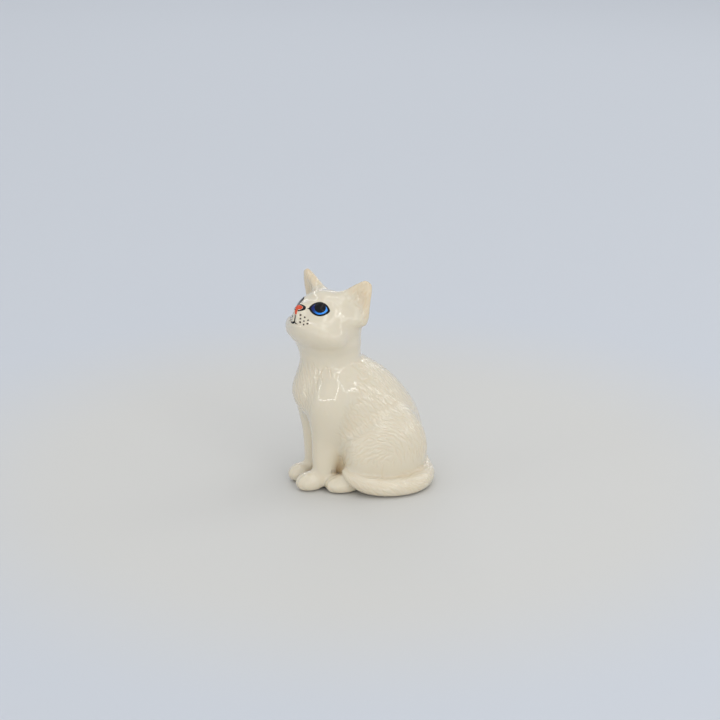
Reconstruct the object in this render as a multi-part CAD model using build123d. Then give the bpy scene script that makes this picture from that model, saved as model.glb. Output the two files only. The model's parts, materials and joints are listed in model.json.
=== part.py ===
"""Sitting kitten figurine: hollow slip-cast body and head, luted limbs, fired-on enamel face.

Millimetres, +Z up. The kitten sits with its chest toward -Y and its own left side toward +X.
The origin is the middle of the footprint, on the surface that it stands on.
"""

import os

from build123d import *

# ---- driving dimensions ------------------------------------------------------------------

height = 133.0  # ground to the tip of the left ear
body_length = 86.0  # chest to rump
body_width = 56.0  # widest section of the torso
wall = 3.6  # slip-cast wall of the torso and the head
vent_diameter = 3.6  # kiln vent in the floor of the torso
passage_diameter = 7.0  # drain between the hollow torso and the hollow head
enamel = 0.3  # raised thickness of the fired-on enamel
brush_line = 1.1  # width of the black brush lines
dot_diameter = 1.0  # whisker dots

head_width = 45.0  # across the cheeks
head_length = 48.0  # brow to nape
head_height = 38.0  # crown to jaw
head_yaw = 23.0  # head turned toward the kitten's left
head_pitch = 33.0  # head looking up
head_roll = 2.0  # left ear carried higher

head_drop = 28.5  # tip of the left ear down to the middle of the head
head_overhang = 21.6  # front of the chest back to the middle of the head
nape_setback = 42.4  # front of the chest back to the nape

muzzle_width = 22.0
muzzle_length = 20.2
muzzle_height = 17.0
nose_length = 7.5
nose_height = 9.0
chin_width = 15.8
ear_width = 20.0  # across the base of the left ear
ear_rise = 32.0  # middle of the head to the tip of the left ear, along the head's own axis
ear_depth = 10.0  # thickness of an ear at its base
ear_scoop = 0.66  # hollow of an ear as a share of its outside

foreleg_spacing = 16.0  # between the centres of the two forelegs
foreleg_depth = 16.6  # front to back, above the paw
foreleg_width = 13.2
foreleg_setback = 19.2  # front of the chest back to the middle of a foreleg
forepaw_length = 19.0
forepaw_width = 14.4
forepaw_height = 11.6

haunch_length = 52.0
haunch_height = 54.0
haunch_width = 30.0
haunch_spacing = 36.0  # between the middles of the two thighs
haunch_lead = 31.0  # rump forward to the middle of a thigh
haunch_tilt = 12.0  # the thigh leans back
hind_paw_length = 25.0
hind_paw_width = 15.0
hind_paw_height = 11.4
hind_paw_spacing = 35.0
hind_paw_lead = 26.5  # middle of a thigh forward to the middle of a hind paw

tail_diameter = 12.0  # where it lies beside the haunch
tail_reach = 33.3  # middle plane to the centre line of the tail, beside the haunch
paw_sink = 0.08  # share of a paw's height that is ground off under its middle

eye_width = 14.2
eye_height = 8.2
eye_spacing = 22.4
eye_slant = 16.0  # outer corner higher than the inner one
eye_turn = 42.0  # each eye faces this far to its side
eye_rise = 4.3  # middle of the head up to the eyes
pupil_diameter = 7.2
nose_width = 7.4
nose_rim = 0.9  # black outline round the coral
dot_pitch = 2.7  # between whisker dots of a row
dot_row_pitch = 2.1

# ---- derived places ----------------------------------------------------------------------

chest_front = -0.535 * body_length
rump_back = chest_front + body_length
nape_back = chest_front + nape_setback
shoulder_height = 0.41 * height
neck_height = 0.635 * height
head_center = (1.0, chest_front + head_overhang, height - head_drop)
head_frame = (
    Pos(*head_center) * Rotation(0, 0, head_yaw) * Rotation(-head_pitch, 0, 0) * Rotation(0, -head_roll, 0)
)


def ellipsoid(center, size, turn=(0, 0, 0)):
    """An ellipsoid from its centre, its three full sizes and its turn."""
    return Pos(*center) * Rotation(*turn) * scale(Sphere(0.5), by=size)


def stack(sections, grow=0.0):
    """A lofted form from (height, middle x, front y, back y, full width) sections."""
    rings = []
    for level, middle, front, back, width in sections:
        ring = Ellipse(width / 2 + grow, (back - front) / 2 + grow)
        rings.append(Plane(origin=(middle, (front + back) / 2, level)) * ring)
    return loft(rings)


def largest(shape):
    """The biggest solid of a cut shape."""
    return max(shape.solids(), key=lambda solid: solid.volume)


def mirrored(shape):
    return mirror(shape, about=Plane.YZ)


ground = Pos(0, 0, -height) * Box(4 * body_length, 4 * body_length, 2 * height)

# ---- torso -------------------------------------------------------------------------------


def torso_form(grow=0.0):
    """Chest, belly, back and neck as one lofted form."""
    w = body_width
    sections = [
        (-4.0, 0, chest_front + 25.0, rump_back - 1.0, 0.95 * w),
        (0.10 * height, 0, chest_front + 25.0, rump_back, w),
        (0.21 * height, 0, chest_front + 22.0, rump_back - 0.8, w),
        (0.30 * height, 0, chest_front + 14.0, rump_back - 3.4, 0.96 * w),
        (0.385 * height, 0, chest_front + 4.5, rump_back - 8.2, 0.92 * w),
        (0.465 * height, 0, chest_front + 0.8, rump_back - 15.4, 0.86 * w),
        (0.54 * height, 0, chest_front + 3.2, rump_back - 25.4, 0.77 * w),
        (0.60 * height, 0, chest_front + 5.6, nape_back + 6.6, 0.68 * w),
        (neck_height, 0, chest_front + 6.0, nape_back + 2.2, 0.63 * w),
        (0.72 * height, 1, chest_front + 9.8, nape_back, 0.54 * w),
    ]
    return stack(sections, grow)


def head_form(grow=0.0):
    """Skull, cheeks, muzzle and chin in the head's own frame, fused."""
    g = 2 * grow
    skull = ellipsoid((0, 2.5, 0.0), (0.89 * head_width + g, head_length + g, head_height + g))
    crown = ellipsoid((1.0, 3.5, 6.5), (0.89 * head_width + g, 0.8 * head_length + g, 0.79 * head_height + g))
    cheeks = ellipsoid((0, -3.0, -7.5), (head_width + g, 0.84 * head_length + g, 0.66 * head_height + g))
    muzzle = ellipsoid((0, -12.5, -7.2), (muzzle_width + g, muzzle_length + g, muzzle_height + g))
    bridge = ellipsoid((0, -15.0, 1.0), (17.0 + g, 19.0 + g, 15.0 + g), (-20, 0, 0))
    nose = ellipsoid((0, -20.8, -1.0), (nose_width + 2.2 + g, nose_length + g, nose_height + g))
    chin = ellipsoid((0, -9.6, -13.0), (chin_width + g, chin_width + g, 0.82 * chin_width + g))
    return head_frame * (skull + crown + cheeks + muzzle + bridge + nose + chin)


torso_outside = torso_form() - ground
head_outside = head_form()

torso_cavity = torso_form(-wall) - head_form(wall) - Pos(0, 0, wall) * ground
torso_cavity = largest(torso_cavity)
head_cavity = head_form(-wall)
vent = Pos(0, 0, wall / 2) * Cylinder(vent_diameter / 2, 3 * wall)
passage_start = Vector(0, (chest_front + rump_back - 34.0) / 2, shoulder_height)
passage_end = Vector(*head_center)
passage = Plane(
    origin=(passage_start + passage_end) * 0.5, z_dir=passage_end - passage_start
) * Cylinder(passage_diameter / 2, (passage_end - passage_start).length)

torso_shell = largest(torso_outside - head_outside - torso_cavity - vent - passage)
head_shell = largest(head_outside - head_cavity - passage)

# ---- ears --------------------------------------------------------------------------------


def ear_form(inner, outer, tip, depth, share=1.0, forward=0.0):
    """A leaf from its two base corners and its tip; share thins it, forward moves it out of the head."""
    inner, outer, tip = Vector(*inner), Vector(*outer), Vector(*tip)
    middle = (inner + outer) * 0.5
    rise = tip - middle
    across = outer - inner
    facing = across.cross(rise).normalized()
    rings = []
    for along, width, thick in ((-0.25, 1.08, 1.0), (0.2, 0.96, 0.92), (0.62, 0.66, 0.62), (1.0, 0.24, 0.3)):
        center = middle + rise * (along if share == 1.0 else along * 0.9) + facing * forward
        plane = Plane(origin=center, x_dir=across, z_dir=rise)
        rings.append(plane * Ellipse(across.length / 2 * width * share, depth / 2 * thick * share))
    return loft(rings)


def ear(inner, outer, tip):
    shell = ear_form(inner, outer, tip, ear_depth)
    hollow = ear_form(inner, outer, tip, ear_depth, ear_scoop, 0.42 * ear_depth)
    return largest(head_frame * (shell - hollow) - head_outside)


left_ear = ear((6.0, -2.5, 18.0), (6.0 + 0.8 * ear_width, 10.0, 11.0), (20.0, 1.0, ear_rise))
right_ear = ear((-6.5 - 0.7 * ear_width, 1.5, 11.0), (-6.5, -5.0, 17.0), (-25.5, -8.0, ear_rise - 5.0))

# ---- forelegs ----------------------------------------------------------------------------

leg_x = foreleg_spacing / 2
leg_y = chest_front + foreleg_setback


def foreleg_form():
    """Shoulder, leg and paw of the left side."""
    d = foreleg_depth
    w = foreleg_width
    sections = [
        (0.02 * height, leg_x, leg_y - 0.46 * d, leg_y + 0.44 * d, 0.95 * w),
        (0.145 * height, leg_x + 0.4, leg_y - 0.5 * d, leg_y + 0.54 * d, w),
        (0.26 * height, leg_x + 2.4, leg_y - 0.55 * d, leg_y + 0.82 * d, 1.16 * w),
        (0.35 * height, leg_x + 5.4, leg_y - 0.62 * d, leg_y + 1.0 * d, 1.36 * w),
        (0.435 * height, leg_x + 7.5, leg_y - 0.6 * d, leg_y + 1.02 * d, 1.42 * w),
        (0.52 * height, leg_x + 7.5, leg_y - 0.35 * d, leg_y + 0.8 * d, 1.1 * w),
        (0.57 * height, leg_x + 6.5, leg_y - 0.1 * d, leg_y + 0.6 * d, 0.6 * w),
    ]
    paw = ellipsoid(
        (leg_x, chest_front + forepaw_length / 2, (0.5 - paw_sink) * forepaw_height),
        (forepaw_width, forepaw_length, (1 + 2 * paw_sink) * forepaw_height),
    )
    return stack(sections) + paw - ground


# ---- haunches, hind paws and tail --------------------------------------------------------

haunch_y = rump_back - haunch_lead
haunch_x = haunch_spacing / 2
hind_paw_y = haunch_y - hind_paw_lead


def haunch_form():
    """Thigh and knee of the left side."""
    thigh = ellipsoid(
        (haunch_x, haunch_y, 0.46 * haunch_height),
        (haunch_width, haunch_length, haunch_height),
        (haunch_tilt, 0, 0),
    )
    knee = ellipsoid(
        (haunch_x + 0.5, haunch_y - 0.28 * haunch_length, 0.44 * haunch_height),
        (0.78 * haunch_width, 0.48 * haunch_length, 0.72 * haunch_height),
    )
    return thigh + knee - ground


def hind_paw_form():
    """Foot of the left side, its heel under the haunch."""
    foot = ellipsoid(
        (hind_paw_spacing / 2, hind_paw_y, (0.5 - paw_sink) * hind_paw_height),
        (hind_paw_width, hind_paw_length, (1 + 2 * paw_sink) * hind_paw_height),
    )
    return foot - ground


def tail_form():
    """The tail from the rump round the left haunch, its tip lifted onto the hind paw."""
    r = tail_diameter / 2
    route = Spline(
        (-1.0, rump_back - 14.0, 1.5 * r),
        (11.0, rump_back - 3.4, 1.05 * r),
        (25.2, rump_back - 8.2, 0.96 * r),
        (tail_reach - 0.8, rump_back - 24.0, 0.96 * r),
        (tail_reach, haunch_y - 7.0, r),
        (tail_reach - 4.3, hind_paw_y + 8.0, 1.4 * r),
        (hind_paw_spacing / 2 + 2.5, hind_paw_y + 0.5, 2.3 * r),
    )
    rings = []
    for along, share in ((0.0, 0.95), (0.16, 1.05), (0.4, 1.04), (0.7, 1.0), (0.88, 0.9), (1.0, 0.6)):
        rings.append(Plane(origin=route @ along, z_dir=route % along) * Circle(r * share))
    body = loft(rings)
    tip = Pos(*(route @ 1.0)) * Sphere(0.6 * r)
    return body + tip - ground


left_haunch_outside = haunch_form()
left_haunch = largest(left_haunch_outside - torso_outside)
left_foreleg = largest(foreleg_form() - torso_outside - head_outside - left_haunch_outside)
left_hind_paw = largest(hind_paw_form() - torso_outside - left_haunch_outside - left_foreleg)
right_haunch = mirrored(left_haunch)
right_foreleg = mirrored(left_foreleg)
right_hind_paw = mirrored(left_hind_paw)
tail = largest(tail_form() - torso_outside - left_haunch_outside - left_hind_paw - left_foreleg)

# ---- fired-on enamel ---------------------------------------------------------------------

enamel_skin = head_form(enamel) - head_outside
reach = 12.0  # depth of the cutters that pick an enamel area out of the skin


def almond(width, tall):
    """An eye-shaped outline with a rounder lower lid."""
    half = width / 2
    upper = ThreePointArc((-half, 0), (0, 0.56 * tall), (half, 0))
    lower = ThreePointArc((half, 0), (0, -0.44 * tall), (-half, 0))
    return make_face([upper, lower])


def applied(shape, frame):
    """A flat brush shape carried onto the skin of the head, in a frame that faces out of the head."""
    cutter = head_frame * frame * extrude(shape, amount=reach / 2, both=True)
    return largest(enamel_skin & cutter)


def face_frame(x, y, z, turn):
    """A frame on the face with +Z out of the skin and +Y up; turn swings it to the side."""
    return Pos(x, y, z) * Rotation(0, 0, turn) * Rotation(90, 0, 0)


nodes = {
    "torso_shell": torso_shell,
    "head_shell": head_shell,
    "left_ear": left_ear,
    "right_ear": right_ear,
    "left_foreleg": left_foreleg,
    "right_foreleg": right_foreleg,
    "left_haunch": left_haunch,
    "right_haunch": right_haunch,
    "left_hind_paw": left_hind_paw,
    "right_hind_paw": right_hind_paw,
    "tail": tail,
}

for side, sign in (("left", 1), ("right", -1)):
    frame = face_frame(sign * eye_spacing / 2, -19.0, eye_rise, sign * eye_turn)
    frame *= Rotation(0, 0, sign * eye_slant)
    opening = almond(eye_width - 2 * brush_line, eye_height - 2 * brush_line)
    pupil = Pos(0, 0.16 * eye_height) * Circle(pupil_diameter / 2)
    nodes[f"{side}_eye_outline"] = applied(almond(eye_width, eye_height) - opening, frame)
    nodes[f"{side}_eye_pupil"] = applied(opening & pupil, frame)
    nodes[f"{side}_eye_iris"] = applied(opening - pupil, frame)

# The brush shapes of nose and mouth, x to the kitten's left and y up, in one frame at the muzzle.
muzzle_frame = face_frame(0, -25.0, -4.0, 0)
nose_top = 6.2
nose_tip = 0.4
lip_height = -3.4


def nose_shape(edge=0.0):
    """A rounded triangle, point down; edge draws it in on all sides."""
    half = nose_width / 2 - edge
    top = nose_top - edge
    tip = nose_tip + 1.3 * edge
    brow = ThreePointArc((half, top - 1.2), (0, top + 0.4), (-half, top - 1.2))
    left = Line((-half, top - 1.2), (0, tip))
    right = Line((0, tip), (half, top - 1.2))
    return make_face([brow, left, right])


def stroke(*points):
    """One pull of the brush through three points."""
    return trace(ThreePointArc(*points), line_width=brush_line)


nodes["nose_enamel"] = applied(nose_shape(nose_rim), muzzle_frame)
nodes["nose_outline"] = applied(nose_shape() - nose_shape(nose_rim), muzzle_frame)
philtrum = Pos(0, (nose_tip + lip_height) / 2 - 0.3) * Rectangle(brush_line, nose_tip - lip_height)
lips = stroke((0, lip_height), (-2.2, lip_height - 1.4), (-4.3, lip_height - 1.1))
lips += stroke((0, lip_height), (1.5, lip_height - 1.0), (3.1, lip_height - 1.0))
nodes["mouth_line"] = applied(philtrum + lips - nose_shape(), muzzle_frame)

dots = []
for sign in (1, -1):
    pad_frame = face_frame(sign * 0.21 * muzzle_width, -24.0, -5.3, sign * 24)
    for row in range(3):
        for column in range(3 - row // 2):
            place = Pos(sign * (dot_pitch * column - 1.8 + 0.7 * row), 2.6 - dot_row_pitch * row - 0.5 * column)
            dots.append(applied(place * Circle(dot_diameter / 2), pad_frame))

# ---- writing -----------------------------------------------------------------------------

nodes["whisker_dots"] = Compound(dots)
footprint = Compound(list(nodes.values())).bounding_box()
to_origin = Pos(-footprint.center().X, -footprint.center().Y, -footprint.min.Z)

os.makedirs("parts", exist_ok=True)
for name, shape in nodes.items():
    export_step(to_origin * shape, f"parts/{name}.step")
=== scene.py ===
import json
import math

import bpy
import numpy as np
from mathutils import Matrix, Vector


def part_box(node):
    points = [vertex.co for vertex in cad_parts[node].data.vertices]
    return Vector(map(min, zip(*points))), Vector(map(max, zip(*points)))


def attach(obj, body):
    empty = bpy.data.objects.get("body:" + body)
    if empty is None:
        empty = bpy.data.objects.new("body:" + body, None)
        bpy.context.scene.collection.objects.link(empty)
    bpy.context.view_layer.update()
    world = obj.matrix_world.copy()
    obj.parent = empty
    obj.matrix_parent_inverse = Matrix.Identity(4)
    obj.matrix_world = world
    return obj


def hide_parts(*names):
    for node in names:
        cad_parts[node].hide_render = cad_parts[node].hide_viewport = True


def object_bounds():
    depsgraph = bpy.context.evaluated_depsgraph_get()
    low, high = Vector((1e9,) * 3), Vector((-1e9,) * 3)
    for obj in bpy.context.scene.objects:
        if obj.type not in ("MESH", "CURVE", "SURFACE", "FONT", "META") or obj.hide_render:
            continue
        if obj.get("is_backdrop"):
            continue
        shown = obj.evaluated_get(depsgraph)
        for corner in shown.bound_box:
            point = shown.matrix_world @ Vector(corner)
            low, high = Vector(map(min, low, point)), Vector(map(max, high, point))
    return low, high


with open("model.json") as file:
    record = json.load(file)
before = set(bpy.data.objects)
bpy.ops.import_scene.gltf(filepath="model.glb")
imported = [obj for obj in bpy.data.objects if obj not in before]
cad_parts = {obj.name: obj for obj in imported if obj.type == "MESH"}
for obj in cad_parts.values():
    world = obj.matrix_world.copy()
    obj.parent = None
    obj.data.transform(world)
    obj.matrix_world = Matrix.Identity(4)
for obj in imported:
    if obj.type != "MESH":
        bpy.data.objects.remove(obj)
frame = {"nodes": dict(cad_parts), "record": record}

import openvdb
from bpy.props import FloatProperty, FloatVectorProperty, IntProperty, PointerProperty
from mathutils import Vector
from mathutils.bvhtree import BVHTree
from mathutils.kdtree import KDTree

bl_info = {
    "name": "Glazed kitten figurine",
    "version": (1, 0, 0),
    "blender": (4, 5, 0),
    "location": "3D View > Sidebar > Figurine",
    "description": "Sculpts, carves, glazes and enamels a sitting earthenware kitten around its castings",
    "category": "Object",
}

MM = 0.001
CAD_LOW, CAD_HIGH = (np.array(corner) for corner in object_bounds())
HEIGHT = CAD_HIGH[2] - CAD_LOW[2]

CASTINGS = ("torso_shell", "head_shell")
EARS = ("left_ear", "right_ear")
FORELEGS = ("left_foreleg", "right_foreleg")
HAUNCHES = ("left_haunch", "right_haunch")
HIND_PAWS = ("left_hind_paw", "right_hind_paw")
MEMBERS = CASTINGS + EARS + FORELEGS + HAUNCHES + HIND_PAWS + ("tail",)

MOST_SEEDS = 45000  # the most places tried for a stroke of fur

# square frames of light strips: degrees from the camera, degrees up, side and width of a strip in metres
STRIP_FRAMES = ((-20, 40, 2.0, 0.055), (75, 44, 1.4, 0.04), (165, 50, 1.4, 0.035))


# ---- settings ----------------------------------------------------------------------------


class ClaySettings(bpy.types.PropertyGroup):
    """How the castings are luted together and smoothed."""

    cell: FloatProperty(
        name="Cell", description="Spacing of the sculpting grid",
        default=0.9 * MM, unit="LENGTH", precision=5,
    )
    neck: FloatProperty(
        name="Neck", description="Slip worked in round the neck", default=7 * MM, unit="LENGTH"
    )
    shoulder: FloatProperty(
        name="Shoulder", description="Slip worked in over the shoulders", default=7.5 * MM, unit="LENGTH"
    )
    thigh: FloatProperty(
        name="Thigh", description="Slip worked in behind the thighs", default=7 * MM, unit="LENGTH"
    )
    crease: FloatProperty(
        name="Crease", description="Slip left in the creases of paws and tail",
        default=2.4 * MM, unit="LENGTH",
    )
    ear: FloatProperty(
        name="Ear", description="Slip worked in at the root of an ear", default=6 * MM, unit="LENGTH"
    )
    sponge: FloatProperty(
        name="Sponge", description="How far sponging rounds the castings", default=1.3 * MM, unit="LENGTH"
    )


class FaceSettings(bpy.types.PropertyGroup):
    """How far the head is modelled by hand over the sponged casting."""

    eyeball: FloatProperty(name="Eyeball", description="Rise of an eyeball", default=0.75 * MM, unit="LENGTH")
    socket: FloatProperty(
        name="Socket", description="Depth round an eyeball", default=0.45 * MM, unit="LENGTH"
    )
    brow: FloatProperty(name="Brow", description="Rise over each eye", default=2.2 * MM, unit="LENGTH")
    crown: FloatProperty(name="Crown", description="Rise between the ears", default=1.7 * MM, unit="LENGTH")
    nose: FloatProperty(name="Nose", description="Rise of the nose", default=2.7 * MM, unit="LENGTH")
    muzzle: FloatProperty(name="Muzzle", description="Rise round the mouth", default=1.5 * MM, unit="LENGTH")
    groove: FloatProperty(name="Groove", description="Depth under the nose", default=0.4 * MM, unit="LENGTH")
    lips: FloatProperty(name="Lips", description="Depth between the lips", default=0.5 * MM, unit="LENGTH")
    ear_root: FloatProperty(
        name="Ear root", description="Depth behind the left ear", default=2.2 * MM, unit="LENGTH"
    )


class FurSettings(bpy.types.PropertyGroup):
    """The carved strokes of the coat."""

    seed: IntProperty(name="Seed", description="Which scatter of strokes is carved", default=7, min=0)
    spacing: FloatProperty(
        name="Spacing", description="Least distance between strokes", default=2.3 * MM, unit="LENGTH"
    )
    length: FloatProperty(name="Length", description="Length of a stroke", default=7.5 * MM, unit="LENGTH")
    width: FloatProperty(
        name="Width", description="Width of the carving tool", default=0.85 * MM, unit="LENGTH"
    )
    depth: FloatProperty(name="Depth", description="Depth of a stroke", default=0.24 * MM, unit="LENGTH")


class GlazeSettings(bpy.types.PropertyGroup):
    """The clear glaze over cream clay."""

    cream: FloatVectorProperty(
        name="Cream", description="Clay under the glaze",
        subtype="COLOR", size=3, default=(0.705, 0.635, 0.495),
    )
    honey: FloatVectorProperty(
        name="Honey", description="Glaze pooled in a crease",
        subtype="COLOR", size=3, default=(0.68, 0.48, 0.24),
    )
    # brown clay of the wiped foot, darkened so that it also serves as painted contact shadow along the base
    bare_foot_and_shadow: FloatVectorProperty(
        name="Bare", description="Clay where the foot is wiped",
        subtype="COLOR", size=3, default=(0.55, 0.44, 0.31),
    )
    roughness: FloatProperty(
        name="Roughness", description="Roughness of the glaze", default=0.09, subtype="FACTOR"
    )


class EnamelSettings(bpy.types.PropertyGroup):
    """The painted and fired face colours."""

    lift: FloatProperty(
        name="Lift", description="Height of the enamel over the glaze",
        default=0.2 * MM, unit="LENGTH", precision=5,
    )
    cell: FloatProperty(
        name="Cell", description="Spacing of the enamel grid", default=0.17 * MM, unit="LENGTH", precision=5
    )
    line: FloatProperty(
        name="Line", description="Width of the brush line", default=1.05 * MM, unit="LENGTH", precision=5
    )
    black: FloatVectorProperty(
        name="Black", description="Outline enamel", subtype="COLOR", size=3, default=(0.003, 0.003, 0.004)
    )
    blue: FloatVectorProperty(
        name="Blue", description="Iris enamel where it is thin",
        subtype="COLOR", size=3, default=(0.025, 0.25, 0.86),
    )
    navy: FloatVectorProperty(
        name="Navy", description="Iris enamel where it is thick",
        subtype="COLOR", size=3, default=(0.010, 0.020, 0.14),
    )
    coral: FloatVectorProperty(
        name="Coral", description="Nose enamel", subtype="COLOR", size=3, default=(0.78, 0.10, 0.045)
    )


class StageSettings(bpy.types.PropertyGroup):
    """The floor, the studio light and the camera."""

    floor: FloatVectorProperty(
        name="Floor", description="Floor near the figurine",
        subtype="COLOR", size=3, default=(0.655, 0.648, 0.625),
    )
    far: FloatVectorProperty(
        name="Far", description="Floor away from the figurine",
        subtype="COLOR", size=3, default=(0.61, 0.64, 0.69),
    )
    azimuth: FloatProperty(
        name="Azimuth", description="Camera round the figurine", default=math.radians(72), subtype="ANGLE"
    )
    elevation: FloatProperty(
        name="Elevation", description="Camera above the floor", default=math.radians(22.1), subtype="ANGLE"
    )
    rise: FloatProperty(
        name="Rise", description="Camera aimed above the foot", default=math.radians(2.294), subtype="ANGLE"
    )
    pan: FloatProperty(
        name="Pan", description="Camera turned past the foot", default=math.radians(0.023), subtype="ANGLE"
    )
    distance: FloatProperty(name="Distance", description="Camera to the foot", default=1.863, unit="LENGTH")
    lens: FloatProperty(name="Lens", description="Focal length in millimetres", default=150.0)
    daylight: FloatProperty(
        name="Daylight", description="Strength of the light from all sides", default=0.67
    )
    strip: FloatProperty(name="Strip", description="Brightness of the light strips", default=5.2)
    fill: FloatProperty(name="Fill", description="Brightness of the low soft light", default=1.2)


def settings(group):
    return getattr(bpy.context.scene, "kitten_" + group)


# ---- shader sums -------------------------------------------------------------------------


class Signal:
    """One shader value, so that sums on it read as sums and add their own Math nodes."""

    def __init__(self, recipe, socket):
        self.recipe = recipe
        self.socket = socket

    def _math(self, operation, first, second):
        return self.recipe.add("ShaderNodeMath", {"operation": operation}, {0: first, 1: second})

    def __add__(self, other):
        return self._math("ADD", self, other)

    def __sub__(self, other):
        return self._math("SUBTRACT", self, other)

    def __rsub__(self, other):
        return self._math("SUBTRACT", other, self)

    def __mul__(self, other):
        return self._math("MULTIPLY", self, other)

    __radd__ = __add__
    __rmul__ = __mul__


class Recipe:
    """A material that is built node by node."""

    def __init__(self, name):
        self.material = bpy.data.materials.new(name)
        self.material.use_nodes = True
        self.tree = self.material.node_tree
        self.shader = self.tree.nodes["Principled BSDF"]

    def add(self, kind, setup=None, inputs=None, output=0):
        """A node of that kind: its settings first, then the values or links of its sockets."""
        node = self.tree.nodes.new(kind)
        for name, value in (setup or {}).items():
            setattr(node, name, value)
        for key, value in (inputs or {}).items():
            self.feed(node.inputs[key], value)
        return Signal(self, node.outputs[output])

    def feed(self, socket, value):
        if isinstance(value, Signal):
            self.tree.links.new(value.socket, socket)
        else:
            socket.default_value = value

    def place(self):
        """Where a point of the surface lies in the figurine's own frame."""
        return self.add("ShaderNodeTexCoord", output=3)

    def noise(self, scale, detail=2.0, rough=0.5):
        """Cloudy values from 0 to 1; scale counts the clouds in a metre."""
        inputs = {"Vector": self.place(), "Scale": scale, "Detail": detail, "Roughness": rough}
        return self.add("ShaderNodeTexNoise", {"noise_dimensions": "3D"}, inputs)

    def carved(self, name):
        """A value that the sculpting left on the surface."""
        return self.add("ShaderNodeAttribute", {"attribute_name": name}, output=2)

    def ramp(self, value, low, high):
        """0 below low, 1 above high, smooth between."""
        setup = {"interpolation_type": "SMOOTHSTEP"}
        return self.add("ShaderNodeMapRange", setup, {"Value": value, "From Min": low, "From Max": high})

    def colours(self, factor, first, second):
        """A colour between two colours."""
        inputs = {0: factor, 6: self._colour(first), 7: self._colour(second)}
        return self.add("ShaderNodeMix", {"data_type": "RGBA", "clamp_factor": True}, inputs, output=2)

    def _colour(self, value):
        return value if isinstance(value, Signal) else (*value, 1)

    def bump(self, height, strength, distance):
        inputs = {"Strength": strength, "Distance": distance, "Height": height}
        return self.add("ShaderNodeBump", None, inputs)

    def finish(self, **sockets):
        """Sets the shader's sockets, whose names are written with underscores for spaces."""
        for name, value in sockets.items():
            self.feed(self.shader.inputs[name.replace("_", " ")], value)
        return self.material


# ---- clay --------------------------------------------------------------------------------


def blend(first, second, width):
    """The union of two distance fields, rounded over that width."""
    overlap = np.maximum(width - np.abs(first - second), 0)
    return np.minimum(first, second) - overlap**2 / (4 * width)


def carve(first, second, width):
    """The part of the first field that lies in the second, its edge rounded over that width."""
    return -blend(-first, -second, width)


def step(value, low, high):
    """0 below low, 1 above high, smooth between; high may be below low."""
    t = np.clip((value - low) / (high - low), 0, 1)
    return t * t * (3 - 2 * t)


def unit(vectors):
    return vectors / np.maximum(np.linalg.norm(vectors, axis=-1, keepdims=True), 1e-12)


def middle(node):
    low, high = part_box(node)
    return (np.array(low) + np.array(high)) / 2


def extent(node):
    low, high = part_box(node)
    return np.array(high) - np.array(low)


def cad_points(node):
    mesh = frame["nodes"][node].data
    points = np.empty(len(mesh.vertices) * 3, np.float32)
    mesh.vertices.foreach_get("co", points)
    return points.reshape(-1, 3)


class Grid:
    """Signed distances to the castings on a grid over the whole figurine, negative in the clay."""

    reach = 9  # cells outside a casting whose distance is kept
    depth = 6  # cells inside a casting whose distance is kept

    def __init__(self, cell):
        self.cell = cell
        self.first = np.floor(CAD_LOW / cell).astype(int) - 3
        last = np.ceil(CAD_HIGH / cell).astype(int) + 4
        self.shape = tuple(last - self.first)
        self.transform = openvdb.createLinearTransform(voxelSize=cell)
        axes = [(np.arange(n) + start) * cell for n, start in zip(self.shape, self.first)]
        self.x, self.y, self.z = np.meshgrid(*axes, indexing="ij", sparse=True)

    def of(self, node):
        """The distances to one casting of the frame."""
        mesh = frame["nodes"][node].data
        mesh.calc_loop_triangles()
        corners = np.empty(len(mesh.loop_triangles) * 3, np.int32)
        mesh.loop_triangles.foreach_get("vertices", corners)
        solid = openvdb.FloatGrid.createLevelSetFromPolygons(
            cad_points(node),
            triangles=corners.reshape(-1, 3).astype(np.uint32),
            transform=self.transform,
            exBandWidth=self.reach,
            inBandWidth=self.depth,
        )
        values = np.empty(self.shape, np.float32)
        solid.copyToArray(values, ijk=tuple(int(n) for n in self.first))
        return values

    def filled(self, values, neck=2.0 * MM):
        """The same clay with its hollow filled, reached only through holes up to twice neck wide."""
        open_air = values > neck
        outside = np.zeros(self.shape, bool)
        outside[0], outside[-1] = open_air[0], open_air[-1]
        outside = self._spread(outside, open_air, max(self.shape) * 2)
        hollow = self._spread(open_air & ~outside, values > -1.2 * MM, 5)
        return np.where(hollow, -1.8 * MM, values).astype(np.float32)

    def _spread(self, seed, room, steps):
        """The cells of room that seed reaches in that many steps."""
        for _ in range(steps):
            grown = seed.copy()
            for axis in range(3):
                for shift in (1, -1):
                    grown |= np.roll(seed, shift, axis)
            grown &= room
            if (grown == seed).all():
                break
            seed = grown
        return seed

    def sponged(self, values, radius):
        """The same field blurred by a sponge of that radius."""
        taps = int(math.ceil(2 * radius / self.cell))
        weights = np.exp(-0.5 * (np.arange(-taps, taps + 1) * self.cell / radius) ** 2)
        weights /= weights.sum()
        for axis in range(3):
            values = sum(
                weight * np.roll(values, shift, axis)
                for shift, weight in zip(range(-taps, taps + 1), weights)
            )
        return values.astype(np.float32)

    def at(self, values, points):
        """The field's value at each point."""
        place = points / self.cell - self.first
        base = np.clip(np.floor(place).astype(int), 0, np.array(self.shape) - 2)
        share = np.clip(place - base, 0, 1)
        total = np.zeros(len(points))
        for corner in np.ndindex(2, 2, 2):
            weight = np.prod(np.where(corner, share, 1 - share), axis=1)
            i, j, k = (base + corner).T
            total += weight * values[i, j, k]
        return total

    def skin(self, values):
        """Points and quads of the surface."""
        solid = openvdb.FloatGrid(float(self.reach * self.cell))
        solid.copyFromArray(values.astype(np.float32), ijk=tuple(int(n) for n in self.first))
        solid.transform = self.transform
        points, quads = solid.convertToQuads()
        return np.array(points, float), np.array(quads, int)


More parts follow.
